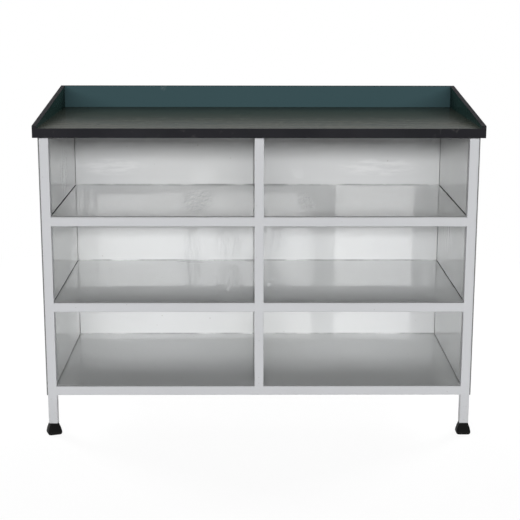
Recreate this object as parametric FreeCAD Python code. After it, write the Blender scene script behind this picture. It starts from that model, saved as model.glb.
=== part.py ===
"""Dispensing counter: a welded square-tube frame clad with composite panels, six open bays in three
tiers, a laminated worktop with a raised rim, and four levelling feet.

Millimetres. The origin is on the floor under the middle of the worktop, +Z is up, +X is to the
right of a person who faces the open bays, and the open front faces -Y.
"""

import FreeCAD
import Part
import math
import os

from FreeCAD import Vector

# Worktop and its raised rim
worktop_width = 1200.0
worktop_depth = 600.0
worktop_board = 25.0
guard_board = 12.0
edge_band = 1.0
edge_band_round = 0.5
upstand_height = 64.0
guard_nose_height = 7.0
front_overhang = 15.0
side_overhang = 12.0
rear_overhang = 7.0

# Frame
leg_clearance = 115.0
shelf_pitch = 237.5
top_bay_height = 215.0
tube = 25.0
tube_wall = 1.2
tube_corner = 1.5

# Composite panels
panel = 3.0
panel_gap = 0.5
corner_gap = 1.0
deck_gap = 2.5
deck_inset = 2.0
notch_clearance = 0.5

# Levelling feet
foot_height = 30.0
foot_top_side = 25.0
foot_base_side = 40.0
foot_base_height = 6.0
foot_tread_side = 34.0
foot_corner_spacing = 21.0
foot_flank_bulge = 2.0
foot_recess_radius = 9.0
foot_recess_depth = 1.5
front_left_foot_turn = 20.0
stud_radius = 4.0
stud_embed = 20.0
stud_tip_chamfer = 1.0
running_clearance = 0.05

# Threaded insert in the end of each leg
insert_flange = 3.0
insert_length = 22.0
insert_core = 17.0
insert_fin = 1.5
insert_fin_count = 4
insert_clearance = 0.1

# Screws that hold the worktop down
screw_radius = 2.25
screw_head_radius = 4.5
screw_head_crown_radius = 3.2
screw_head_height = 2.6
screw_bite = 18.0
screw_hole_clearance = 0.3
screw_end_distance = 60.0
side_rail_screws = 3
rear_rail_screws = 2

# Dowels between the worktop and its rim
dowel_radius = 4.0
dowel_in_board = 22.0
dowel_in_rim = 8.0
dowel_clearance = 0.05
dowel_end_distance = 60.0
guard_dowels = 4
upstand_dowels = 6

# Names of the places that repeat
TIERS = ["bottom", "middle", "top"]
SIDES = {"left": -1, "right": 1}

# Places worked out from the sizes above
board_half_width = worktop_width / 2 - guard_board
skin_half_width = worktop_width / 2 - side_overhang
frame_half_width = skin_half_width - panel
inner_half_width = frame_half_width - tube
worktop_front = -worktop_depth / 2
worktop_rear = worktop_depth / 2
frame_front = worktop_front + front_overhang
skin_rear = worktop_rear - rear_overhang
frame_rear = skin_rear - panel
front_post_back = frame_front + tube
rear_post_front = frame_rear - tube
hidden_rail = tube - panel
cross_rail_width = tube - 2 * panel
leg_bottom = foot_height + insert_flange
rail_tops = [leg_clearance + tube + tier * shelf_pitch for tier in range(len(TIERS))]
frame_top = rail_tops[-1] + top_bay_height
worktop_top = frame_top + worktop_board
rim_top = worktop_top + upstand_height
guard_nose_top = worktop_top + guard_nose_height

POST_ROWS = {"front": frame_front, "rear": rear_post_front}
POST_COLUMNS = {"left": -frame_half_width, "centre": -tube / 2, "right": inner_half_width}


# Shared shapes


def block(low, high):
    """A sheet or board that fills the box between two corners, extruded up from its plan outline."""
    corners = [
        Vector(low[0], low[1], low[2]),
        Vector(high[0], low[1], low[2]),
        Vector(high[0], high[1], low[2]),
        Vector(low[0], high[1], low[2]),
    ]
    outline = Part.makePolygon(corners + corners[:1])
    return Part.Face(outline).extrude(Vector(0, 0, high[2] - low[2]))


def rounded_rectangle(width, height, radius):
    """A closed wire in the XY plane, centred on the origin, with round corners."""
    half_w, half_h = width / 2, height / 2
    if radius <= 0:
        corners = [(-half_w, -half_h), (half_w, -half_h), (half_w, half_h), (-half_w, half_h)]
        points = [Vector(x, y, 0) for x, y in corners]
        return Part.makePolygon(points + points[:1])
    edges = []
    ends = []
    for turn, (sx, sy) in enumerate([(1, -1), (1, 1), (-1, 1), (-1, -1)]):
        centre = Vector(sx * (half_w - radius), sy * (half_h - radius), 0)
        angles = [math.radians(-90 + 90 * turn + step) for step in (0, 45, 90)]
        arc = [centre + Vector(radius * math.cos(a), radius * math.sin(a), 0) for a in angles]
        edges.append(Part.Arc(*arc).toShape())
        ends.append((arc[0], arc[2]))
    for this, following in zip(ends, ends[1:] + ends[:1]):
        edges.append(Part.LineSegment(this[1], following[0]).toShape())
    return Part.Wire(Part.__sortEdges__(edges))


def along(shape, axis):
    """A shape drawn along Z from the origin, turned to run along X, Y or Z."""
    turned = shape.copy()
    if axis == "x":
        turned.rotate(Vector(), Vector(0, 1, 0), 90)
    if axis == "y":
        turned.rotate(Vector(), Vector(1, 0, 0), -90)
    return turned


def tube_envelope(low, high, axis):
    """The outside of a square tube that fills the box between two corners."""
    size = [b - a for a, b in zip(low, high)]
    section = {"x": (size[2], size[1]), "y": (size[0], size[2]), "z": (size[0], size[1])}[axis]
    length = size["xyz".index(axis)]
    outside = Part.Face(rounded_rectangle(*section, tube_corner)).extrude(Vector(0, 0, length))
    return placed(outside, low, high, axis)


def square_tube(low, high, axis):
    """A hollow tube with rolled corners, open at both ends."""
    size = [b - a for a, b in zip(low, high)]
    section = {"x": (size[2], size[1]), "y": (size[0], size[2]), "z": (size[0], size[1])}[axis]
    length = size["xyz".index(axis)]
    bore = [side - 2 * tube_wall for side in section]
    outer = rounded_rectangle(*section, tube_corner)
    inner = rounded_rectangle(*bore, tube_corner - tube_wall)
    profile = Part.makeFace([outer, inner], "Part::FaceMakerBullseye")
    return placed(profile.extrude(Vector(0, 0, length)), low, high, axis)


def placed(prism, low, high, axis):
    """A prism drawn along Z and centred on it, moved into the box between two corners."""
    middle = [(a + b) / 2 for a, b in zip(low, high)]
    middle["xyz".index(axis)] = low["xyz".index(axis)]
    turned = along(prism, axis)
    turned.translate(Vector(*middle))
    return turned


def spread(first, last, count):
    """Evenly spaced places from first to last."""
    return [first + (last - first) * step / (count - 1) for step in range(count)]


def rod(radius, start, direction, length):
    """A round rod or hole from a start point along a direction."""
    return Part.makeCylinder(radius, length, start, direction)


# Posts: six square tubes, the four at the corners running down as legs


def post_corners(row, column):
    low_x = POST_COLUMNS[column]
    low_y = POST_ROWS[row]
    low_z = leg_bottom
    if column == "centre":
        low_z = rail_tops[0]
    return (low_x, low_y, low_z), (low_x + tube, low_y + tube, frame_top)


def make_posts():
    posts = {}
    for row in POST_ROWS:
        for column in POST_COLUMNS:
            posts[f"{row}_{column}_post"] = square_tube(*post_corners(row, column), "z")
    return posts


def post_envelopes(row):
    return [tube_envelope(*post_corners(row, column), "z") for column in POST_COLUMNS]


# Front rails: flush with the posts, their ends coped to the rolled corners and welded


def front_rail(left_x, right_x, top):
    low = (left_x - tube_corner, frame_front, top - tube)
    high = (right_x + tube_corner, front_post_back, top)
    return square_tube(low, high, "x").cut(Part.makeCompound(post_envelopes("front")))


def make_front_rails():
    rails = {"front_bottom_rail": front_rail(-inner_half_width, inner_half_width, rail_tops[0])}
    for tier, top in zip(TIERS[1:], rail_tops[1:]):
        rails[f"front_{tier}_left_rail"] = front_rail(-inner_half_width, -tube / 2, top)
        rails[f"front_{tier}_right_rail"] = front_rail(tube / 2, inner_half_width, top)
    return rails


# Hidden rails: smaller tubes, set back by a panel's thickness so that the panels finish flush


def worktop_screw_places():
    """Where each worktop screw passes up through a top rail, in plan."""
    side_x = frame_half_width - hidden_rail / 2
    rear_y = frame_rear - hidden_rail / 2
    side_ys = spread(
        front_post_back + screw_end_distance, rear_post_front - screw_end_distance, side_rail_screws
    )
    rear_xs = spread(
        tube / 2 + screw_end_distance, inner_half_width - screw_end_distance, rear_rail_screws
    )
    places = [(x, y) for x in (-side_x, 0, side_x) for y in side_ys]
    return places + [(side * x, rear_y) for side in SIDES.values() for x in rear_xs]


def drilled_for_screws(rail):
    holes = [
        rod(
            screw_radius + screw_hole_clearance,
            Vector(x, y, frame_top - tube),
            Vector(0, 0, 1),
            tube + worktop_board,
        )
        for x, y in worktop_screw_places()
    ]
    return rail.cut(Part.makeCompound(holes))


def rails_at_each_tier(low_x, high_x, low_y, high_y, axis):
    """Hidden rails under the three decks and under the worktop, the last drilled for screws."""
    rails = []
    for top in rail_tops + [frame_top]:
        rails.append(square_tube((low_x, low_y, top - hidden_rail), (high_x, high_y, top), axis))
    rails[-1] = drilled_for_screws(rails[-1])
    return rails


def make_hidden_rails():
    rails = {}
    for side, sign in SIDES.items():
        edges = sorted([sign * frame_half_width, sign * (frame_half_width - hidden_rail)])
        rails[f"{side}_side_rails"] = Part.makeCompound(
            rails_at_each_tier(*edges, front_post_back, rear_post_front, "y")
        )
    half = cross_rail_width / 2
    cross = rails_at_each_tier(-half, half, front_post_back, rear_post_front, "y")
    cross[0] = square_tube(
        (-half, front_post_back, rail_tops[0] - hidden_rail),
        (half, frame_rear - hidden_rail, rail_tops[0]),
        "y",
    )
    rails["centre_cross_rails"] = Part.makeCompound(cross)
    back = [
        square_tube(
            (-inner_half_width, frame_rear - hidden_rail, rail_tops[0] - hidden_rail),
            (inner_half_width, frame_rear, rail_tops[0]),
            "x",
        )
    ]
    for low_x, high_x in [(-inner_half_width, -tube / 2), (tube / 2, inner_half_width)]:
        back += rails_at_each_tier(low_x, high_x, frame_rear - hidden_rail, frame_rear, "x")[1:]
    rails["rear_rails"] = Part.makeCompound(back)
    return rails


# Decks: one composite sheet to a tier, laid on the rails and notched round the six posts


def make_decks():
    notches = []
    for row in POST_ROWS:
        for column in POST_COLUMNS:
            low, high = post_corners(row, column)
            grow = Vector(notch_clearance, notch_clearance, 0)
            notches.append(block(Vector(*low) - grow, Vector(*high) + grow))
    decks = {}
    for tier, top in zip(TIERS, rail_tops):
        edge_x = frame_half_width - deck_inset
        low = (-edge_x, frame_front + deck_inset, top)
        high = (edge_x, frame_rear - deck_inset, top + panel)
        decks[f"{tier}_shelf_deck"] = block(low, high).cut(Part.makeCompound(notches))
    return decks


# Wall panels: sheets between the posts, flush with them, that line each bay. The back ones stand on
# the decks, and the side ones stop a little above them.


def bay_heights():
    """The deck's top and the wall panels' top in each tier."""
    decks = [top + panel for top in rail_tops]
    heads = [top - panel_gap / 2 for top in rail_tops[1:] + [frame_top]]
    return list(zip(TIERS, decks, heads))


def make_wall_panels():
    panels = {}
    front = front_post_back + panel_gap
    back = rear_post_front - corner_gap
    for tier, deck, head in bay_heights():
        foot = deck + deck_gap
        for side, sign in SIDES.items():
            wall = sorted([sign * inner_half_width, sign * (inner_half_width + panel)])
            panels[f"{side}_wall_panel_{tier}"] = block((wall[0], front, foot), (wall[1], back, head))
            divider = sorted([sign * tube / 2, sign * (tube / 2 - panel)])
            panels[f"divider_panel_{tier}_{side}"] = block(
                (divider[0], front, foot), (divider[1], back, head)
            )
            span = sorted([sign * (tube / 2 + corner_gap), sign * (inner_half_width - corner_gap)])
            panels[f"back_panel_{tier}_{side}"] = block(
                (span[0], rear_post_front, deck), (span[1], rear_post_front + panel, head)
            )
    return panels


# Outer panels: one sheet over each side of the frame and one over its back


def make_outer_panels():
    panels = {}
    for side, sign in SIDES.items():
        skin = sorted([sign * frame_half_width, sign * skin_half_width])
        panels[f"{side}_outer_panel"] = block(
            (skin[0], frame_front, leg_clearance), (skin[1], frame_rear, frame_top)
        )
    panels["back_outer_panel"] = block(
        (-skin_half_width, frame_rear, leg_clearance), (skin_half_width, skin_rear, frame_top)
    )
    return panels


# Worktop: a laminated board with a rim of thinner boards dowelled to three edges


def dowel_rods(clearance):
    """The dowels, or with a clearance the holes for them."""
    radius = dowel_radius + clearance
    length = dowel_in_board + dowel_in_rim + 2 * clearance
    height = frame_top + worktop_board / 2
    rods = []
    ys = spread(
        worktop_front + dowel_end_distance,
        worktop_rear - guard_board - dowel_end_distance,
        guard_dowels,
    )
    for sign in SIDES.values():
        for y in ys:
            start = Vector(sign * (board_half_width - dowel_in_board - clearance), y, height)
            rods.append(rod(radius, start, Vector(sign, 0, 0), length))
    xs = spread(
        -board_half_width + dowel_end_distance, board_half_width - dowel_end_distance, upstand_dowels
    )
    for x in xs:
        start = Vector(x, worktop_rear - guard_board - dowel_in_board - clearance, height)
        rods.append(rod(radius, start, Vector(0, 1, 0), length))
    return Part.makeCompound(rods)


def guard_outline(inset):
    """The raking side guard seen from its side, drawn in by the edge band's thickness or by nothing."""
    rake = math.atan2(rim_top - guard_nose_top, worktop_depth)
    drop = inset / math.cos(rake)
    front = worktop_front + inset
    nose = guard_nose_top + inset * math.tan(rake) - drop
    return [
        (front, frame_top),
        (front, nose),
        (worktop_rear, rim_top - drop),
        (worktop_rear, frame_top),
    ]


def guard_prism(inset, low_x):
    points = [Vector(low_x, y, z) for y, z in guard_outline(inset)]
    return Part.Face(Part.makePolygon(points + points[:1])).extrude(Vector(guard_board, 0, 0))


def make_worktop():
    holes = dowel_rods(dowel_clearance)
    pilot_holes = [
        rod(screw_radius + dowel_clearance, Vector(x, y, frame_top), Vector(0, 0, 1), screw_bite)
        for x, y in worktop_screw_places()
    ]
    board = block(
        (-board_half_width, worktop_front + edge_band, frame_top),
        (board_half_width, worktop_rear - guard_board, worktop_top),
    )
    upstand = block(
        (-board_half_width, worktop_rear - guard_board, frame_top),
        (board_half_width, worktop_rear, rim_top - edge_band),
    )
    band = block(
        (-board_half_width, worktop_front, frame_top),
        (board_half_width, worktop_front + edge_band, worktop_top),
    )
    rounded = [edge for edge in band.Edges if is_front_long_edge(edge)]
    pieces = {
        "worktop_board": board.cut(Part.makeCompound([holes] + pilot_holes)),
        "rear_upstand": upstand.cut(holes),
        "worktop_front_band": band.makeFillet(min(edge_band_round, edge_band / 2), rounded),
        "upstand_band": block(
            (-board_half_width, worktop_rear - guard_board, rim_top - edge_band),
            (board_half_width, worktop_rear, rim_top),
        ),
        "board_dowels": dowel_rods(0),
    }
    for side, sign in SIDES.items():
        low_x = min(sign * board_half_width, sign * worktop_width / 2)
        core = guard_prism(edge_band, low_x)
        pieces[f"{side}_side_guard"] = core.cut(holes)
        pieces[f"{side}_guard_band"] = guard_prism(0, low_x).cut(core)
    return pieces


def is_front_long_edge(edge):
    """True for the two long edges of the front band that stand proud of the board."""
    box = edge.BoundBox
    return box.XLength > worktop_board and abs(box.YMin - worktop_front) < edge_band / 2


def make_worktop_screws():
    screws = []
    for x, y in worktop_screw_places():
        seat = Vector(x, y, frame_top - hidden_rail)
        head_start = seat - Vector(0, 0, screw_head_height)
        head = Part.makeCone(
            screw_head_crown_radius, screw_head_radius, screw_head_height, head_start
        )
        shank = rod(screw_radius, seat, Vector(0, 0, 1), hidden_rail + screw_bite)
        screws.append(head.fuse(shank).removeSplitter())
    return Part.makeCompound(screws)


# Levelling feet: a moulded hoof with a steel stud, screwed into an insert in each leg


def foot_axes():
    """The plan position of the axis of each leg."""
    return {
        f"{row}_{side}": (sign * (frame_half_width - tube / 2), y + tube / 2)
        for row, y in POST_ROWS.items()
        for side, sign in SIDES.items()
    }


def make_hoof():
    """The moulded foot, lofted: it flares from the leg to a broad base and tucks in to its tread.

    The corners are rounded about the same four upright axes at every level.
    """
    flank_height = (foot_base_height + foot_height) / 2
    flank_side = (foot_base_side + foot_top_side) / 2 + foot_flank_bulge
    levels = [
        (0, foot_tread_side),
        (foot_base_height, foot_base_side),
        (flank_height, flank_side),
        (foot_height, foot_top_side),
    ]
    sections = []
    for height, side in levels:
        section = rounded_rectangle(side, side, (side - foot_corner_spacing) / 2)
        section.translate(Vector(0, 0, height))
        sections.append(section)
    solid, ruled = True, True
    hoof = Part.makeLoft(sections, solid, ruled)
    recess = rod(foot_recess_radius, Vector(), Vector(0, 0, 1), foot_recess_depth)
    socket = rod(stud_radius, Vector(0, 0, foot_height - stud_embed), Vector(0, 0, 1), stud_embed)
    return hoof.cut(Part.makeCompound([recess, socket]))


def make_stud():
    length = stud_embed + insert_flange + insert_length
    stud = rod(stud_radius, Vector(0, 0, foot_height - stud_embed), Vector(0, 0, 1), length)
    tip = [edge for edge in stud.Edges if edge.BoundBox.ZMin > foot_height + insert_length / 2]
    return stud.makeChamfer(stud_tip_chamfer, tip)


def make_insert():
    """A square plug with fins that grip the tube, a flange under its end and a through thread."""
    bore_side = tube - 2 * tube_wall - 2 * insert_clearance
    flange = Part.Face(rounded_rectangle(tube, tube, tube_corner)).extrude(Vector(0, 0, insert_flange))
    core = Part.Face(rounded_rectangle(insert_core, insert_core, tube_corner))
    plug = flange.fuse(core.extrude(Vector(0, 0, insert_flange + insert_length)))
    pitch = insert_length / insert_fin_count
    for fin in range(insert_fin_count):
        ring = Part.Face(rounded_rectangle(bore_side, bore_side, tube_corner - tube_wall))
        collar = ring.extrude(Vector(0, 0, insert_fin))
        collar.translate(Vector(0, 0, insert_flange + pitch * (fin + 1) - insert_fin))
        plug = plug.fuse(collar)
    thread = rod(
        stud_radius + running_clearance, Vector(), Vector(0, 0, 1), insert_flange + insert_length
    )
    plug = plug.removeSplitter().cut(thread)
    plug.translate(Vector(0, 0, foot_height))
    return plug


def make_feet():
    hoof, stud, insert = make_hoof(), make_stud(), make_insert()
    turns = {"front_left": front_left_foot_turn}
    feet = {}
    inserts = []
    for name, (x, y) in foot_axes().items():
        move = Vector(x, y, 0)
        turned = hoof.rotated(Vector(), Vector(0, 0, 1), turns.get(name, 0))
        feet[f"{name}_foot"] = turned.translated(move)
        feet[f"{name}_foot_stud"] = stud.translated(move)
        inserts.append(insert.translated(move))
    feet["leg_inserts"] = Part.makeCompound(inserts)
    return feet


def main():
    nodes = {}
    nodes.update(make_posts())
    nodes.update(make_front_rails())
    nodes.update(make_hidden_rails())
    nodes.update(make_decks())
    nodes.update(make_wall_panels())
    nodes.update(make_outer_panels())
    nodes.update(make_worktop())
    nodes["worktop_screws"] = make_worktop_screws()
    nodes.update(make_feet())
    os.makedirs("parts", exist_ok=True)
    for name, shape in nodes.items():
        shape.exportStep(os.path.join("parts", name + ".step"))
        sound = shape.isValid() and all(solid.isClosed() for solid in shape.Solids)
        print(f"{name}: {len(shape.Solids)} solid(s), {shape.Volume / 1000:.1f} cm3, sound {sound}")


main()
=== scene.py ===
import math

import bmesh
import bpy
from mathutils import Matrix, Vector


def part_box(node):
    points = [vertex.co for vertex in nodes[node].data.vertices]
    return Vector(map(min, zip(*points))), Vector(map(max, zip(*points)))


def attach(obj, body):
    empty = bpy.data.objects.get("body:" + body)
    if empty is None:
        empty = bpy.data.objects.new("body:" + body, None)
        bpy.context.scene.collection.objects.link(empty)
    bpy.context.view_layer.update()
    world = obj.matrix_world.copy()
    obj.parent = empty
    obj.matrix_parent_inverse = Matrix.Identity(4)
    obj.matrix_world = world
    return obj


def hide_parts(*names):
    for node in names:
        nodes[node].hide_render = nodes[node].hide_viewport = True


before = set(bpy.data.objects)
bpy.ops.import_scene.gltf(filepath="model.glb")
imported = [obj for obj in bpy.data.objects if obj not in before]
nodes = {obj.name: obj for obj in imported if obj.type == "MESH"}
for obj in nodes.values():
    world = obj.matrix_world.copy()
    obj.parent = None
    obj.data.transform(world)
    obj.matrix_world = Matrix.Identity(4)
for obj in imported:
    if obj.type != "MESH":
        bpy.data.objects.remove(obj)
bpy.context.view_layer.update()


# Posts and rails of the frame
# Square steel tube, cut, coped and welded, with the welds ground flush, then sprayed with a pale
# grey satin enamel. It dries with a faint orange peel, and the legs get scuffed near the floor.


def feed(tree, socket, value):
    """Links a node's input to another node's output, or sets it to a plain value."""
    if isinstance(value, bpy.types.NodeSocket):
        tree.links.new(value, socket)
    else:
        socket.default_value = value


def add(tree, kind, inputs, **settings):
    """A new node with its settings made and its inputs fed."""
    node = tree.nodes.new("ShaderNode" + kind)
    for name, value in settings.items():
        setattr(node, name, value)
    for name, value in inputs.items():
        feed(tree, node.inputs[name], value)
    return node


def noise(tree, place, scale=1.0, detail=1.0, distortion=0.0):
    inputs = {"Vector": place, "Scale": scale, "Detail": detail, "Distortion": distortion}
    return add(tree, "TexNoise", inputs).outputs[0]


def stretched(tree, place, scale):
    """The place with each axis scaled by itself, so that a pattern on it comes out drawn out."""
    return add(tree, "Mapping", {"Vector": place, "Scale": scale}).outputs[0]


def coordinate(tree, vector, axis):
    return add(tree, "SeparateXYZ", {0: vector}).outputs[axis]


def between(tree, value, low, high):
    """A smooth step from 0 at the low value to 1 at the high one."""
    inputs = {"Value": value, "From Min": low, "From Max": high}
    return add(tree, "MapRange", inputs, interpolation_type="SMOOTHSTEP").outputs[0]


def spread(tree, value, low, high):
    """A value from 0 to 1 stretched to run from low to high."""
    return add(tree, "MapRange", {"Value": value, "To Min": low, "To Max": high}).outputs[0]


def reckon(tree, operation, first, second=0.0):
    return add(tree, "Math", {0: first, 1: second}, operation=operation).outputs[0]


def times(tree, product, *others):
    """The product of two or more values."""
    for other in others:
        product = reckon(tree, "MULTIPLY", product, other)
    return product


def blended(tree, share, first, second):
    """A colour that goes from the first to the second as the share goes from 0 to 1."""
    return add(tree, "Mix", {0: share, 6: first, 7: second}, data_type="RGBA").outputs[2]


def start_material(name):
    """A new material, its tree, its shader and the object coordinates that its patterns follow."""
    material = bpy.data.materials.new(name)
    material.use_nodes = True
    tree = material.node_tree
    place = tree.nodes.new("ShaderNodeTexCoord").outputs["Object"]
    return material, tree, tree.nodes["Principled BSDF"], place


def start_group(name, inputs, outputs):
    """A node group with the named inputs and outputs, as a tree and two sets of sockets."""
    tree = bpy.data.node_groups.new(name, "ShaderNodeTree")
    for socket in inputs:
        kind = "NodeSocketVector" if socket in ("Vector", "Direction") else "NodeSocketFloat"
        tree.interface.new_socket(socket, in_out="INPUT", socket_type=kind)
    for socket in outputs:
        tree.interface.new_socket(socket, in_out="OUTPUT", socket_type="NodeSocketFloat")
    enter = tree.nodes.new("NodeGroupInput")
    leave = tree.nodes.new("NodeGroupOutput")
    return tree, enter.outputs, leave.inputs


def make_handling_marks():
    """Broad changes of tone, wiped smears and small specks, as every handled surface gathers them."""
    smears_to_a_patch = 2.6
    smear_from, smear_full = 0.5, 0.68
    speck_rim, speck_core = 0.16, 0.08
    speck_rarity = 0.94
    tree, given, put = start_group(
        "handling_marks", ["Vector", "Patch Scale", "Speck Scale"], ["Tone", "Smear", "Speck"]
    )
    feed(tree, put["Tone"], noise(tree, given["Vector"], given["Patch Scale"], detail=3.0))
    smear_scale = times(tree, given["Patch Scale"], smears_to_a_patch)
    wiped = noise(tree, given["Vector"], smear_scale, detail=6.0, distortion=1.4)
    feed(tree, put["Smear"], between(tree, wiped, smear_from, smear_full))
    cells = add(tree, "TexVoronoi", {"Vector": given["Vector"], "Scale": given["Speck Scale"]})
    spot = between(tree, cells.outputs["Distance"], speck_rim, speck_core)
    lot = add(tree, "SeparateColor", {"Color": cells.outputs["Color"]}).outputs[0]
    drawn = reckon(tree, "GREATER_THAN", lot, speck_rarity)
    feed(tree, put["Speck"], times(tree, spot, drawn))
    return tree


def make_fine_relief():
    """The height of a fine grain with a slower ripple under it."""
    ripples_to_a_grain = 0.22
    tree, given, put = start_group("fine_relief", ["Vector", "Grain Scale"], ["Height"])
    grain = noise(tree, given["Vector"], given["Grain Scale"], detail=2.0)
    ripple_scale = times(tree, given["Grain Scale"], ripples_to_a_grain)
    ripple = noise(tree, given["Vector"], ripple_scale)
    feed(tree, put["Height"], reckon(tree, "ADD", grain, ripple))
    return tree


handling_marks = make_handling_marks()
fine_relief = make_fine_relief()


def marks_on(tree, place, patch_scale, speck_scale):
    inputs = {"Vector": place, "Patch Scale": patch_scale, "Speck Scale": speck_scale}
    return add(tree, "Group", inputs, node_tree=handling_marks).outputs


def roughened(tree, place, grain_scale, depth, under=None):
    """A surface normal with a fine grain of a given depth in metres."""
    inputs = {"Vector": place, "Grain Scale": grain_scale}
    height = add(tree, "Group", inputs, node_tree=fine_relief).outputs[0]
    inputs = {"Distance": depth, "Height": height}
    if under is not None:
        inputs["Normal"] = under
    return add(tree, "Bump", inputs).outputs[0]


def enamel():
    sprayed, thin = (0.575, 0.582, 0.601, 1), (0.537, 0.544, 0.562, 1)
    scuffed, speck = (0.33, 0.33, 0.33, 1), (0.3, 0.29, 0.27, 1)
    patch_scale, speck_scale = 7.0, 130.0
    scuff_top, scuff_foot = 0.17, 0.03
    scuff_stretch = (160.0, 160.0, 420.0)
    scuff_from, scuff_full = 0.6, 0.7
    scuff_share, floor_darkening_share = 0.5, 0.2
    satin, dulled = 0.36, 0.5
    peel_scale, peel_depth = 620.0, 0.00004
    material, tree, shader, place = start_material("pale_grey_enamel")
    marks = marks_on(tree, place, patch_scale, speck_scale)
    colour = blended(tree, marks["Tone"], sprayed, thin)
    colour = blended(tree, marks["Speck"], colour, speck)
    low_down = between(tree, coordinate(tree, place, "Z"), scuff_top, scuff_foot)
    knocked = noise(tree, stretched(tree, place, scuff_stretch), detail=5.0, distortion=0.4)
    scuffs = between(tree, knocked, scuff_from, scuff_full)
    # The legs turn evenly darker towards the floor, and knocks leave scuffs there.
    colour = blended(tree, times(tree, low_down, floor_darkening_share), colour, scuffed)
    colour = blended(tree, times(tree, scuffs, low_down, scuff_share), colour, scuffed)
    feed(tree, shader.inputs["Base Color"], colour)
    feed(tree, shader.inputs["Roughness"], spread(tree, marks["Smear"], satin, dulled))
    feed(tree, shader.inputs["Normal"], roughened(tree, place, peel_scale, peel_depth))
    return material


def dress(material, names):
    """Gives a finish to parts of the frame that keep their shape."""
    for name in names:
        for slot in nodes[name].material_slots:
            slot.material = material


dress(enamel(), [name for name in nodes if name.endswith(("_post", "_rail", "_rails"))])


# Shelf decks, wall panels, back panels and outer panels
# Composite sheet, a white gloss coat on a bright metal skin over a grey core, cut to size and bonded
# to the rails. It is never quite flat. Painted shade darkens its lower cut edges, the foot of each back
# panel and a line on the decks under the walls, and painted highlights lighten two bands on the top
# back panels. The walls, backs and decks get different whites, painted lighter on the walls and darker
# on the backs and decks, for the light that falls on each.


def make_cut_edge():
    """1 on the cut edges of a sheet and 0 on its two faces, from the direction of its thickness."""
    face_from = 0.5
    tree, given, put = start_group("cut_edge", ["Direction"], ["Edge"])
    facing = tree.nodes.new("ShaderNodeTexCoord").outputs["Normal"]
    turned = add(tree, "VectorMath", {0: facing, 1: given["Direction"]}, operation="DOT_PRODUCT")
    across = reckon(tree, "ABSOLUTE", turned.outputs["Value"])
    feed(tree, put["Edge"], reckon(tree, "LESS_THAN", across, face_from))
    return tree


cut_edge = make_cut_edge()


def facing_down(tree):
    """1 on faces that look down and 0 on the rest."""
    tilted, level = -0.4, -0.6
    facing = tree.nodes.new("ShaderNodeTexCoord").outputs["Normal"]
    return between(tree, coordinate(tree, facing, "Z"), tilted, level)


def oval(tree, place, middle, reach):
    """1 in the middle of an oval place on a sheet, fading to 0 at its reach."""
    rim, core = 1.0, 0.4
    offset = add(tree, "VectorMath", {0: place, 1: middle}, operation="SUBTRACT").outputs[0]
    scaled = add(tree, "VectorMath", {0: offset, 1: reach}, operation="DIVIDE").outputs[0]
    away = add(tree, "VectorMath", {0: scaled}, operation="LENGTH").outputs["Value"]
    return between(tree, away, rim, core)


def uneven(tree, place, stretch, ovals):
    """A drawn-out unevenness, from 0 to 1, in some oval places."""
    even, full = 0.3, 0.7
    within = 0.0
    for middle, reach in ovals:
        within = reckon(tree, "MAXIMUM", oval(tree, place, middle, reach), within)
    all_over = between(tree, noise(tree, stretched(tree, place, stretch), detail=3.0), even, full)
    return times(tree, all_over, within)


sideways, backward, upward = (1, 0, 0), (0, 1, 0), (0, 0, 1)
wall_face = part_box("right_wall_panel_top")[0].x
back_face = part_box("back_panel_top_left")[0].y


def painted_shade_under_walls(tree, place):
    """A thin line of painted shade on a deck under the foot of each side wall, fainter on the lower decks.
    """
    seam_width, least_height, full_height = 0.0012, 0.0, 0.6
    off_centre = reckon(tree, "ABSOLUTE", coordinate(tree, place, "X"))
    under_wall = between(tree, off_centre, wall_face - seam_width, wall_face)
    strength = between(tree, coordinate(tree, place, "Z"), least_height, full_height)
    return times(tree, under_wall, strength)


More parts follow.
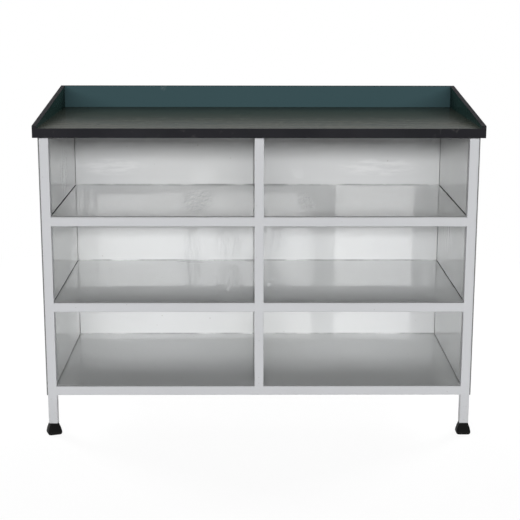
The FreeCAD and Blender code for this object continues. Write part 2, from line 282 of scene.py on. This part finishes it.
def composite_sheet(name, thickness_direction, coat, mirror=0.0, **marked):
    """A gloss sheet with a share of metal shine, and painted highlights, painted shade at the seams, waves
    or wrinkles where marked.
    """
    painted_highlight_white, yellowed, grimy = (0.97, 0.975, 0.98, 1), (0.8, 0.81, 0.803, 1), (0.5, 0.5, 0.47, 1)
    core, painted_shade_black = (0.17, 0.173, 0.173, 1), (0.025, 0.025, 0.024, 1)
    patch_scale, speck_scale, speck_share = 3.2, 60.0, 0.6
    painted_highlight_stretch, painted_highlight_share = (20.0, 20.0, 110.0), 0.45
    seam_shade_stretch, seam_shade_share = (14.0, 14.0, 14.0), 0.55
    polished, smeared, cut_roughness = 0.015, 0.05, 0.5
    buckle_scale, buckle_depth = 4.0, 0.0001
    wave_stretch, wave_depth = (45.0, 45.0, 16.0), 0.0009
    wrinkle_stretch, wrinkle_depth = (75.0, 14.0, 75.0), 0.0011
    waviness = {"waves": (wave_stretch, wave_depth), "wrinkles": (wrinkle_stretch, wrinkle_depth)}
    grain_scale, grain_depth = 110.0, 0.000002
    material, tree, shader, place = start_material(name)
    marks = marks_on(tree, place, patch_scale, speck_scale)
    colour = blended(tree, marks["Tone"], coat, yellowed)
    colour = blended(tree, times(tree, marks["Speck"], speck_share), colour, grimy)
    # Painted highlight: whitish streaks in two bands on the top back panels.
    if "films" in marked:
        film = uneven(tree, place, painted_highlight_stretch, marked["films"])
        colour = blended(tree, times(tree, film, painted_highlight_share), colour, painted_highlight_white)
    # Painted shade in uneven patches along the foot of each back panel, where it meets the deck.
    if "seams" in marked:
        seam_shade = uneven(tree, place, seam_shade_stretch, marked["seams"])
        colour = blended(tree, times(tree, seam_shade, seam_shade_share), colour, painted_shade_black)
    # Painted shade: a black line on the decks under the side walls.
    if thickness_direction == upward:
        colour = blended(tree, painted_shade_under_walls(tree, place), colour, painted_shade_black)
    edge = add(tree, "Group", {"Direction": thickness_direction}, node_tree=cut_edge).outputs[0]
    # Painted shade: cut edges that face down are black, the others show the grey core.
    cut = blended(tree, facing_down(tree), core, painted_shade_black)
    feed(tree, shader.inputs["Base Color"], blended(tree, edge, colour, cut))
    gloss = spread(tree, marks["Smear"], polished, smeared)
    dull = times(tree, edge, cut_roughness)
    feed(tree, shader.inputs["Roughness"], reckon(tree, "ADD", gloss, dull))
    if mirror:
        feed(tree, shader.inputs["Metallic"], spread(tree, edge, mirror, 0.0))
    height = times(tree, noise(tree, place, buckle_scale), buckle_depth)
    for kind, (stretch, depth) in waviness.items():
        if kind in marked:
            risen = times(tree, uneven(tree, place, stretch, marked[kind]), depth)
            height = reckon(tree, "ADD", height, risen)
    relief = add(tree, "Bump", {"Distance": 1.0, "Height": height}).outputs[0]
    feed(tree, shader.inputs["Normal"], roughened(tree, place, grain_scale, grain_depth, relief))
    return material


wall_wave_reach = (0.05, 0.12, 0.08)
back_mark_depth, deck_mark_depth = 0.02, 0.05


def on_wall(side, y, z):
    """The middle and the reach of a wave on the left (-1) or right (1) wall."""
    return (side * wall_face, y, z), wall_wave_reach


def on_back(x, z, reach_x, reach_z):
    """The middle and the reach of a mark on the back panels."""
    return (x, back_face, z), (reach_x, back_mark_depth, reach_z)


def on_deck(deck, x, y, reach_x, reach_y):
    """The middle and the reach of a mark on top of a deck."""
    return (x, y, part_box(deck)[1].z), (reach_x, reach_y, deck_mark_depth)


# One sheet given three whites: painted lighter on the walls and darker on the backs and decks, for the
# light that falls on each.
wall_white_painted_lighter, wall_mirror = (0.9, 0.907, 0.91, 1), 0.2
back_white_painted_darker = (0.712, 0.721, 0.738, 1)
deck_white_painted_darker, deck_mirror = (0.75, 0.757, 0.765, 1), 0.3
seam_length, seam_height = 2.0, 0.005

wall_waves = [on_wall(-1, 0.0, 0.7), on_wall(1, 0.05, 0.5)]
# Two bands of painted highlight across the top back panels.
back_films = [on_back(-0.45, 0.674, 0.13, 0.032), on_back(0.37, 0.674, 0.16, 0.036)]
back_waves = [
    on_back(-0.2, 0.42, 0.035, 0.08), on_back(-0.09, 0.44, 0.05, 0.08),
    on_back(0.04, 0.45, 0.05, 0.08), on_back(0.12, 0.33, 0.16, 0.03),
]
back_feet = [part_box(f"back_panel_{tier}_left")[0].z for tier in ("bottom", "middle", "top")]
# Bands of painted shade at the foot of each back panel.
back_seams = [on_back(0.0, foot, seam_length, seam_height) for foot in back_feet]
deck_waves = [on_deck("middle_shelf_deck", -0.2, 0.24, 0.07, 0.05)]
deck_wrinkles = [
    on_deck("top_shelf_deck", -0.174, -0.02, 0.055, 0.28),
    on_deck("top_shelf_deck", 0.137, -0.05, 0.03, 0.2),
]

upright_sheets = [name for name in nodes if "wall_panel" in name or "divider_panel" in name]
side_skins = ["left_outer_panel", "right_outer_panel"]
dress(
    composite_sheet("gloss_wall_sheet", sideways, wall_white_painted_lighter, wall_mirror, waves=wall_waves),
    upright_sheets + side_skins,
)
dress(
    composite_sheet(
        "gloss_back_sheet", backward, back_white_painted_darker, films=back_films, seams=back_seams, waves=back_waves
    ),
    [name for name in nodes if name.startswith("back_")],
)
dress(
    composite_sheet(
        "gloss_deck_sheet", upward, deck_white_painted_darker, deck_mirror, waves=deck_waves, wrinkles=deck_wrinkles
    ),
    [name for name in nodes if name.endswith("_deck")],
)


# Worktop board and its raised rim
# Wood board faced with a dark high-pressure laminate: a grey-green sheet on top, teal on the rim,
# and a plain backing sheet below. Painted light makes the front of the top paler and more olive in
# streaks, and use leaves a few small chips. The guards take a darker, greener copy of the rim's
# teal, which is painted shade.


def laminate(name, faced, worn_and_lit, roughness, shine):
    chipped, backing = (0.3, 0.33, 0.33, 1), (0.05, 0.046, 0.04, 1)
    patch_scale, speck_scale, chip_scale = 6.0, 14.0, 420.0
    streak_stretch = (5.0, 150.0, 260.0)
    streak_from, streak_full = 0.3, 0.7
    unlit_rear_y, lit_front_y = 0.3, -0.25
    tone_share, chip_share = 0.3, 0.5
    chip_from, chip_full = 0.55, 0.6
    texture_scale, texture_depth = 900.0, 0.00002
    material, tree, shader, place = start_material(name)
    marks = marks_on(tree, place, patch_scale, speck_scale)
    wiped = noise(tree, stretched(tree, place, streak_stretch), detail=4.0)
    streaks = between(tree, wiped, streak_from, streak_full)
    colour = blended(tree, times(tree, marks["Tone"], tone_share), faced, worn_and_lit)
    # Painted light: paler, olive streaks that grow towards the front of the board, where more light falls.
    painted_front_light = between(tree, coordinate(tree, place, "Y"), unlit_rear_y, lit_front_y)
    colour = blended(tree, times(tree, streaks, painted_front_light), colour, worn_and_lit)
    broken = between(tree, noise(tree, place, chip_scale, detail=3.0), chip_from, chip_full)
    colour = blended(tree, times(tree, marks["Speck"], broken, chip_share), colour, chipped)
    feed(tree, shader.inputs["Base Color"], blended(tree, facing_down(tree), colour, backing))
    feed(tree, shader.inputs["Roughness"], spread(tree, marks["Smear"], *roughness))
    shader.inputs["Specular IOR Level"].default_value = shine
    feed(tree, shader.inputs["Normal"], roughened(tree, place, texture_scale, texture_depth))
    return material


top_green, top_worn_and_lit = (0.046, 0.067, 0.06, 1), (0.088, 0.089, 0.063, 1)
top_roughness, top_shine = (0.215, 0.24), 0.008
rim_teal, rim_worn_and_lit = (0.043, 0.081, 0.09, 1), (0.052, 0.091, 0.1, 1)
# Painted shade: the guards take a darker, greener copy of the rim's teal, for the light that only grazes
# them.
guard_green_painted_shade, guard_worn_and_lit = (0.0145, 0.033, 0.03, 1), (0.018, 0.038, 0.034, 1)
rim_roughness, rim_shine = (0.24, 0.3), 0.007
guards = ["left_side_guard", "right_side_guard"]
dress(laminate("grey_green_laminate", top_green, top_worn_and_lit, top_roughness, top_shine), ["worktop_board"])
dress(laminate("teal_laminate", rim_teal, rim_worn_and_lit, rim_roughness, rim_shine), ["rear_upstand"])
dress(laminate("rim_laminate_in_painted_shade", guard_green_painted_shade, guard_worn_and_lit, rim_roughness, rim_shine), guards)


# Edge bands
# Black plastic strip, glued on hot and trimmed flush along the worktop's front, the guards and the
# top of the upstand. The trimming leaves fine marks along it, and knocks leave paler scuffs.


def banding():
    black, rubbed, scuff = (0.0142, 0.0142, 0.0165, 1), (0.026, 0.026, 0.0295, 1), (0.09, 0.088, 0.085, 1)
    patch_scale, speck_scale, knock_scale = 9.0, 40.0, 55.0
    knock_from, knock_full, knock_share = 0.62, 0.72, 0.35
    matt, dull, shine = 0.6, 0.72, 0.03
    trim_scale, trim_depth = 700.0, 0.00004
    material, tree, shader, place = start_material("black_edge_band")
    marks = marks_on(tree, place, patch_scale, speck_scale)
    colour = blended(tree, marks["Tone"], black, rubbed)
    knocked = noise(tree, place, knock_scale, detail=5.0, distortion=1.0)
    knocks = times(tree, between(tree, knocked, knock_from, knock_full), knock_share)
    feed(tree, shader.inputs["Base Color"], blended(tree, knocks, colour, scuff))
    feed(tree, shader.inputs["Roughness"], spread(tree, marks["Smear"], matt, dull))
    shader.inputs["Specular IOR Level"].default_value = shine
    feed(tree, shader.inputs["Normal"], roughened(tree, place, trim_scale, trim_depth))
    return material


dress(banding(), [name for name in nodes if name.endswith("_band")])


# Dowels in the rim
# Beech pins, glued into bores in the edge of the board and in the rim. They keep the rim in line
# and are hidden once it is on.


def beech():
    pale, dark = (0.6, 0.42, 0.25, 1), (0.45, 0.29, 0.16, 1)
    grain_stretch = (90.0, 90.0, 900.0)
    smooth, coarse = 0.6, 0.75
    material, tree, shader, place = start_material("beech_dowel")
    grain = noise(tree, stretched(tree, place, grain_stretch), detail=4.0)
    feed(tree, shader.inputs["Base Color"], blended(tree, grain, pale, dark))
    feed(tree, shader.inputs["Roughness"], spread(tree, grain, smooth, coarse))
    return material


dress(beech(), ["board_dowels"])


# Worktop screws
# Zinc-plated pan-head wood screws with a cross recess, driven up through the top rails into the
# underside of the board. The head bears on the rail, and the thread bites in the wood.

head_radius, head_height, head_round = 0.0045, 0.0026, 0.0011
head_sides, head_round_steps = 32, 5
recess_arm, recess_reach, recess_depth, recess_taper = 0.0011, 0.0016, 0.0016, 0.45
wood_thread, wood_root, wood_pitch = 0.0022, 0.0015, 0.0018
screw_end_distance = 0.06
turn_between_screws = 1.0
thread_steps, spare_turns, crest_share, tip_taper = 20, 2, 0.2, 0.7
hairbreadth = 1e-6


def pick(kind, test):
    """Selects those vertices, edges or faces of the piece in edit mode that pass a test."""
    bpy.ops.mesh.select_mode(type={"verts": "VERT", "edges": "EDGE", "faces": "FACE"}[kind])
    bpy.ops.mesh.select_all(action="DESELECT")
    shown = bmesh.from_edit_mesh(bpy.context.object.data)
    for element in getattr(shown, kind):
        if test(element):
            element.select_set(True)
    bmesh.update_edit_mesh(bpy.context.object.data)


def finish_with(piece, kind, **settings):
    """Adds a modifier to a piece and applies it."""
    modifier = piece.modifiers.new(kind.lower(), kind)
    for name, value in settings.items():
        setattr(modifier, name, value)
    bpy.context.view_layer.objects.active = piece
    bpy.ops.object.modifier_apply(modifier=modifier.name)


def cut_away(piece, cutter):
    """Takes the cutter's shape out of a piece and throws the cutter away."""
    finish_with(piece, "BOOLEAN", operation="DIFFERENCE", object=cutter, solver="EXACT")
    bpy.data.objects.remove(cutter)


def threaded_rod(crest, root, pitch, bottom, top):
    """A screw thread about the Z axis: one tooth's outline, wound up the rod and cut off square."""
    bpy.ops.object.select_all(action="DESELECT")
    bpy.ops.mesh.primitive_plane_add(size=1, rotation=(math.pi / 2, 0, 0))
    rod = bpy.context.object
    rod.scale = (crest - root, pitch, 1)
    rod.location = ((crest + root) / 2, 0, bottom - pitch / 2)
    bpy.ops.object.transform_apply(location=True, rotation=True, scale=True)
    bpy.ops.object.mode_set(mode="EDIT")
    bpy.ops.mesh.delete(type="ONLY_FACE")
    pick("edges", lambda edge: max(vert.co.x for vert in edge.verts) < (crest + root) / 2)
    bpy.ops.mesh.delete(type="EDGE")
    pick("edges", lambda edge: min(vert.co.x for vert in edge.verts) > (crest + root) / 2)
    bpy.ops.transform.resize(value=(1, 1, crest_share))
    bpy.ops.object.mode_set(mode="OBJECT")
    turns = math.ceil((top - bottom) / pitch) + spare_turns
    finish_with(
        rod, "SCREW", angle=2 * math.pi, screw_offset=pitch, iterations=turns, steps=thread_steps,
        render_steps=thread_steps, use_merge_vertices=True, merge_threshold=hairbreadth,
    )
    bpy.ops.object.mode_set(mode="EDIT")
    for level, below in ((bottom, True), (top, False)):
        bpy.ops.mesh.select_all(action="SELECT")
        bpy.ops.mesh.bisect(
            plane_co=(0, 0, level), plane_no=(0, 0, 1), use_fill=True, clear_inner=below,
            clear_outer=not below,
        )
    pick("verts", lambda vert: vert.co.z > top - hairbreadth)
    bpy.ops.transform.resize(value=(tip_taper, tip_taper, 1))
    bpy.ops.mesh.select_all(action="SELECT")
    bpy.ops.mesh.remove_doubles(threshold=hairbreadth)
    bpy.ops.mesh.normals_make_consistent(inside=False)
    bpy.ops.object.mode_set(mode="OBJECT")
    return rod


def smooth_up_to(piece, degrees):
    """Smooths the shading of a piece, apart from edges sharper than an angle."""
    bpy.ops.object.select_all(action="DESELECT")
    piece.select_set(True)
    bpy.context.view_layer.objects.active = piece
    bpy.ops.object.shade_smooth_by_angle(angle=math.radians(degrees))


def joined(pieces):
    """One piece made of several, which keep their places."""
    bpy.ops.object.select_all(action="DESELECT")
    for piece in pieces:
        piece.select_set(True)
    bpy.context.view_layer.objects.active = pieces[0]
    bpy.ops.object.join()
    return bpy.context.object


def wood_screw(seat, tip):
    """One screw on the Z axis, with its head just below the seat."""
    head_end = seat - head_height
    bpy.ops.object.select_all(action="DESELECT")
    bpy.ops.mesh.primitive_cylinder_add(
        vertices=head_sides, radius=head_radius, depth=head_height,
        location=(0, 0, seat - head_height / 2),
    )
    head = bpy.context.object
    bpy.ops.object.transform_apply(location=True, rotation=True, scale=True)
    bpy.ops.object.mode_set(mode="EDIT")
    pick("edges", lambda edge: max(vert.co.z for vert in edge.verts) < head_end + hairbreadth)
    bpy.ops.mesh.bevel(offset=head_round, segments=head_round_steps, affect="EDGES")
    bpy.ops.object.mode_set(mode="OBJECT")
    bpy.ops.object.select_all(action="DESELECT")
    bpy.ops.mesh.primitive_cube_add(size=1, location=(0, 0, head_end))
    cutter = bpy.context.object
    cutter.scale = (recess_arm, recess_arm, 2 * recess_depth)
    bpy.ops.object.transform_apply(location=True, rotation=True, scale=True)
    bpy.ops.object.mode_set(mode="EDIT")
    pick("faces", lambda face: abs(face.normal.z) < 0.5)
    bpy.ops.mesh.extrude_faces_move(TRANSFORM_OT_shrink_fatten={"value": recess_reach})
    pick("verts", lambda vert: vert.co.z > head_end)
    bpy.ops.transform.resize(value=(recess_taper, recess_taper, 1))
    bpy.ops.mesh.select_all(action="SELECT")
    bpy.ops.mesh.normals_make_consistent(inside=False)
    bpy.ops.object.mode_set(mode="OBJECT")
    cut_away(head, cutter)
    shank = threaded_rod(wood_thread, wood_root, wood_pitch, seat - head_height / 3, tip)
    screw = joined([head, shank])
    smooth_up_to(screw, degrees=35)
    return screw


def copied(piece, name, change):
    """A copy of a piece with a mesh of its own, moved in its mesh."""
    copy = piece.copy()
    copy.data = piece.data.copy()
    copy.data.transform(change)
    copy.name = name
    bpy.context.collection.objects.link(copy)
    return copy


def zinc():
    plated, dulled = (0.6, 0.61, 0.62, 1), (0.42, 0.42, 0.4, 1)
    patch_scale, speck_scale = 60.0, 900.0
    bright, matt = 0.3, 0.48
    pit_scale, pit_depth = 4000.0, 0.00001
    material, tree, shader, place = start_material("zinc_plate")
    marks = marks_on(tree, place, patch_scale, speck_scale)
    feed(tree, shader.inputs["Base Color"], blended(tree, marks["Tone"], plated, dulled))
    feed(tree, shader.inputs["Roughness"], spread(tree, marks["Smear"], bright, matt))
    shader.inputs["Metallic"].default_value = 1.0
    feed(tree, shader.inputs["Normal"], roughened(tree, place, pit_scale, pit_depth))
    return material


def screw_places():
    """Where the screws pass through the top rails: three to a side, three in the middle, four behind."""
    side_low, side_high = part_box("right_side_rails")
    rear_low, rear_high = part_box("rear_rails")
    side_x = (side_low.x + side_high.x) / 2
    front_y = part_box("front_left_post")[1].y + screw_end_distance
    last_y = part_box("rear_left_post")[0].y - screw_end_distance
    places = [(x, y) for x in (-side_x, 0, side_x) for y in (front_y, (front_y + last_y) / 2, last_y)]
    inner_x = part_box("rear_centre_post")[1].x + screw_end_distance
    outer_x = rear_high.x - screw_end_distance
    rear_y = (rear_low.y + rear_high.y) / 2
    return places + [(side * x, rear_y) for side in (-1, 1) for x in (inner_x, outer_x)]


screw_low, screw_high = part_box("worktop_screws")
pattern_screw = wood_screw(screw_low.z + head_height, screw_high.z)
screws = []
for count, (x, y) in enumerate(screw_places()):
    change = Matrix.Translation((x, y, 0)) @ Matrix.Rotation(count * turn_between_screws, 4, "Z")
    screws.append(copied(pattern_screw, "worktop_screw_set", change))
bpy.data.objects.remove(pattern_screw)
screw_set = joined(screws)
zinc_plate = zinc()
screw_set.data.materials.clear()
screw_set.data.materials.append(zinc_plate)
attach(screw_set, "counter")
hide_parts("worktop_screws")


# Leg inserts
# Black nylon plugs with fins that grip the inside of the tube, hammered into the end of each leg
# until the flange meets it. A thread down the middle takes the foot's stud.


def moulded_plastic(name, black, greyed, roughness, dusty_height):
    dust, dust_share = (0.16, 0.155, 0.14, 1), 0.3
    patch_scale, speck_scale, dust_scale = 40.0, 500.0, 700.0
    dust_from, dust_full = 0.5, 0.72
    shine = 0.05
    mould_scale, mould_depth = 1500.0, 0.00003
    material, tree, shader, place = start_material(name)
    marks = marks_on(tree, place, patch_scale, speck_scale)
    colour = blended(tree, marks["Tone"], black, greyed)
    low_down = between(tree, coordinate(tree, place, "Z"), dusty_height, 0.0)
    grains = between(tree, noise(tree, place, dust_scale, detail=3.0), dust_from, dust_full)
    dusty = times(tree, low_down, grains, dust_share)
    feed(tree, shader.inputs["Base Color"], blended(tree, dusty, colour, dust))
    feed(tree, shader.inputs["Roughness"], spread(tree, marks["Smear"], *roughness))
    shader.inputs["Specular IOR Level"].default_value = shine
    feed(tree, shader.inputs["Normal"], roughened(tree, place, mould_scale, mould_depth))
    return material


nylon_black, nylon_grey = (0.0142, 0.0142, 0.0153, 1), (0.0236, 0.0236, 0.0248, 1)
nylon_roughness, nylon_dusty_height = (0.42, 0.55), 0.01
nylon = moulded_plastic("black_nylon", nylon_black, nylon_grey, nylon_roughness, nylon_dusty_height)
dress(nylon, ["leg_inserts"])


# Studs of the feet
# Zinc-plated steel studs with a machine thread, moulded into the foot at one end and screwed into
# the leg's insert at the other, so that turning the foot levels the counter.

corners = [f"{row}_{side}" for row in ("front", "rear") for side in ("left", "right")]
machine_pitch, machine_depth = 0.00125, 0.00067


def axis_of(node):
    low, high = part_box(node)
    return (low + high) / 2


stud_low, stud_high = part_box("front_right_foot_stud")
stud_radius = (stud_high.x - stud_low.x) / 2
pattern_stud = threaded_rod(
    stud_radius, stud_radius - machine_depth, machine_pitch, stud_low.z, stud_high.z
)
smooth_up_to(pattern_stud, degrees=25)
for corner in corners:
    axis = axis_of(f"{corner}_foot_stud")
    stud = copied(pattern_stud, f"{corner}_stud_thread", Matrix.Translation((axis.x, axis.y, 0)))
    stud.data.materials.append(zinc_plate)
    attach(stud, f"{corner}_levelling_foot")
    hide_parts(f"{corner}_foot_stud")
bpy.data.objects.remove(pattern_stud)


# Levelling feet
# Black moulded rubber hooves that flare from the leg to a broad base, with rounded corners, a tread
# that tucks in under the base and a round recess below. Each is moulded round its stud.

foot_low, foot_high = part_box("front_right_foot")
base_side, foot_height = foot_high.x - foot_low.x, foot_high.z - foot_low.z
top_side, tread_side, corner_spacing = 0.025, 0.034, 0.021
base_height, parting_line = 0.006, 0.0006
flank_height, flank_side = 0.018, 0.0345
foot_recess_radius, foot_recess_depth, stud_embed = 0.009, 0.0015, 0.02
flank_steps, tread_steps, corner_steps = 7, 5, 8
recess_sides, bore_sides = 48, 32
left_foot_turn = 20.0


def flank(height):
    """The side of the foot at a height, on the smooth curve through its base, middle and top."""
    marks = ((base_height, base_side), (flank_height, flank_side), (foot_height, top_side))
    total = 0.0
    for mark, side in marks:
        weight = 1.0
        for other, _ in marks:
            if other != mark:
                weight *= (height - other) / (mark - other)
        total += weight * side
    return total


def rubber_foot():
    """One foot on the Z axis, standing on the floor."""
    bpy.ops.object.select_all(action="DESELECT")
    bpy.ops.mesh.primitive_cube_add(size=1, location=(0, 0, base_height))
    foot = bpy.context.object
    foot.scale = (base_side, base_side, parting_line)
    bpy.ops.object.transform_apply(location=True, rotation=True, scale=True)
    bpy.ops.object.mode_set(mode="EDIT")
    pick("edges", lambda edge: abs(edge.verts[0].co.z - edge.verts[1].co.z) > parting_line / 2)
    bpy.ops.mesh.bevel(offset=(base_side - corner_spacing) / 2, segments=corner_steps, affect="EDGES")
    pick("faces", lambda face: face.normal.z > 0.9)
    height, side = base_height + parting_line / 2, base_side
    for step in range(flank_steps):
        next_height = height + (foot_height - height) / (flank_steps - step)
        next_side = flank(next_height)
        bpy.ops.mesh.inset(thickness=(side - next_side) / 2, depth=next_height - height)
        height, side = next_height, next_side
    pick("faces", lambda face: face.normal.z < -0.9)
    height, side = base_height - parting_line / 2, base_side
    for step in range(tread_steps):
        turn = math.pi / 2 * (step + 1) / tread_steps
        next_height = (base_height - parting_line / 2) * (1 - math.sin(turn))
        next_side = tread_side + (base_side - tread_side) * math.cos(turn)
        bpy.ops.mesh.inset(thickness=(side - next_side) / 2, depth=height - next_height)
        height, side = next_height, next_side
    bpy.ops.object.mode_set(mode="OBJECT")
    bpy.ops.object.select_all(action="DESELECT")
    bpy.ops.mesh.primitive_cylinder_add(
        vertices=recess_sides, radius=foot_recess_radius, depth=2 * foot_recess_depth
    )
    cut_away(foot, bpy.context.object)
    bpy.ops.object.select_all(action="DESELECT")
    bpy.ops.mesh.primitive_cylinder_add(
        vertices=bore_sides, radius=stud_radius, depth=2 * stud_embed, location=(0, 0, foot_height)
    )
    cut_away(foot, bpy.context.object)
    smooth_up_to(foot, degrees=40)
    return foot


rubber_black, rubber_grey = (0.00531, 0.00531, 0.00531, 1), (0.00944, 0.00944, 0.00944, 1)
rubber_roughness, rubber_dusty_height = (0.5, 0.64), 0.012
rubber = moulded_plastic("black_rubber", rubber_black, rubber_grey, rubber_roughness, rubber_dusty_height)
pattern_foot = rubber_foot()
for corner in corners:
    axis = axis_of(f"{corner}_foot")
    turn = left_foot_turn if corner == "front_left" else 0.0
    change = Matrix.Translation((axis.x, axis.y, 0)) @ Matrix.Rotation(math.radians(turn), 4, "Z")
    foot = copied(pattern_foot, f"{corner}_rubber_foot", change)
    foot.data.materials.append(rubber)
    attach(foot, f"{corner}_levelling_foot")
    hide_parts(f"{corner}_foot")
bpy.data.objects.remove(pattern_foot)


# The studio
# A pale floor that fades to white, a wide far window in front whose two panes show in the gloss
# sheets, a softbox behind each side, and a camera at the photograph's height and angle.


def seen_directly(tree):
    """1 for rays that come from the camera, a reflection or glass, and 0 for light that bounces."""
    path = tree.nodes.new("ShaderNodeLightPath").outputs
    glossy = reckon(tree, "MAXIMUM", path["Is Camera Ray"], path["Is Glossy Ray"])
    return reckon(tree, "MAXIMUM", glossy, path["Is Transmission Ray"])


white, floor_grey = (1, 1, 1, 1), (0.59, 0.59, 0.59, 1)
floor_size = 60.0
shadow_reach, white_from, shadow_share = 0.9, 2.4, 0.3
near_strength, far_strength = 1.31, 1.0
bpy.ops.object.select_all(action="DESELECT")
bpy.ops.mesh.primitive_plane_add(size=floor_size)
floor = bpy.context.object
floor.name = "studio_floor"
floor_paint = bpy.data.materials.new("pale_floor")
floor_paint.use_nodes = True
tree = floor_paint.node_tree
tree.nodes.remove(tree.nodes["Principled BSDF"])
place = tree.nodes.new("ShaderNodeTexCoord").outputs["Object"]
away = add(tree, "VectorMath", {0: place}, operation="LENGTH").outputs["Value"]
fade = between(tree, away, shadow_reach, white_from)
share = times(tree, spread(tree, fade, 1.0 - shadow_share, 1.0), seen_directly(tree))
strength = spread(tree, fade, near_strength, far_strength)
matt = add(tree, "BsdfDiffuse", {"Color": floor_grey}).outputs[0]
lit = add(tree, "Emission", {"Color": white, "Strength": strength}).outputs[0]
mixed = add(tree, "MixShader", {0: share, 1: matt, 2: lit}).outputs[0]
tree.links.new(mixed, tree.nodes["Material Output"].inputs["Surface"])
floor.data.materials.append(floor_paint)

room_light = 0.03
world = bpy.data.worlds.new("studio")
bpy.context.scene.world = world
world.use_nodes = True
tree = world.node_tree
feed(tree, tree.nodes["Background"].inputs["Color"], white)
feed(tree, tree.nodes["Background"].inputs["Strength"], spread(tree, seen_directly(tree), room_light, 1.0))

counter_middle = Vector((0, 0, 0.5))


def softbox(name, size, power, where, in_reflections):
    """A soft lamp aimed at the counter, seen or not seen in its glossy surfaces."""
    lamp = bpy.data.lights.new(name, "AREA")
    lamp.shape = "RECTANGLE"
    lamp.size, lamp.size_y = size
    lamp.energy = power
    holder = bpy.data.objects.new(name, lamp)
    holder.location = where
    aim = counter_middle - Vector(where)
    holder.rotation_euler = aim.to_track_quat("-Z", "Y").to_euler()
    holder.visible_glossy = in_reflections
    bpy.context.collection.objects.link(holder)


window_size, window_power, window_place = (170.0, 11.0), 124500.0, (-1.5, -100.0, 20.3)
wide_size, wide_power, wide_place = (16.66, 10.39), 3300.0, (-3.39, -99.5, 21.88)
narrow_size, narrow_power, narrow_place = (6.03, 11.0), 1265.0, (9.78, -99.5, 21.58)
softbox("front_window", window_size, window_power, window_place, in_reflections=False)
softbox("wide_pane", wide_size, wide_power, wide_place, in_reflections=True)
softbox("narrow_pane", narrow_size, narrow_power, narrow_place, in_reflections=True)
rear_size, rear_power = (2.0, 2.0), 144.0
rear_x, rear_y, rear_z = 4.2, 3.4, 2.6
for side in (-1, 1):
    rear_place = (side * rear_x, rear_y, rear_z)
    softbox("rear_side_softbox", rear_size, rear_power, rear_place, in_reflections=False)

photo_side = 520.0
focal_pixels = 1357.8
middle_row = 301.3
sensor = 36.0
camera_place = (-0.0304, -3.887, 1.2588)
pitch, yaw, roll = 13.67, 0.5, -0.097
camera_data = bpy.data.cameras.new("camera")
camera_data.sensor_width = sensor
camera_data.lens = focal_pixels / photo_side * sensor
camera_data.shift_y = (middle_row - photo_side / 2) / photo_side
camera = bpy.data.objects.new("camera", camera_data)
camera.location = camera_place
camera.rotation_euler = (math.radians(90 - pitch), math.radians(roll), math.radians(-yaw))
bpy.context.collection.objects.link(camera)
bpy.context.scene.camera = camera
bpy.context.scene.view_settings.view_transform = "Standard"
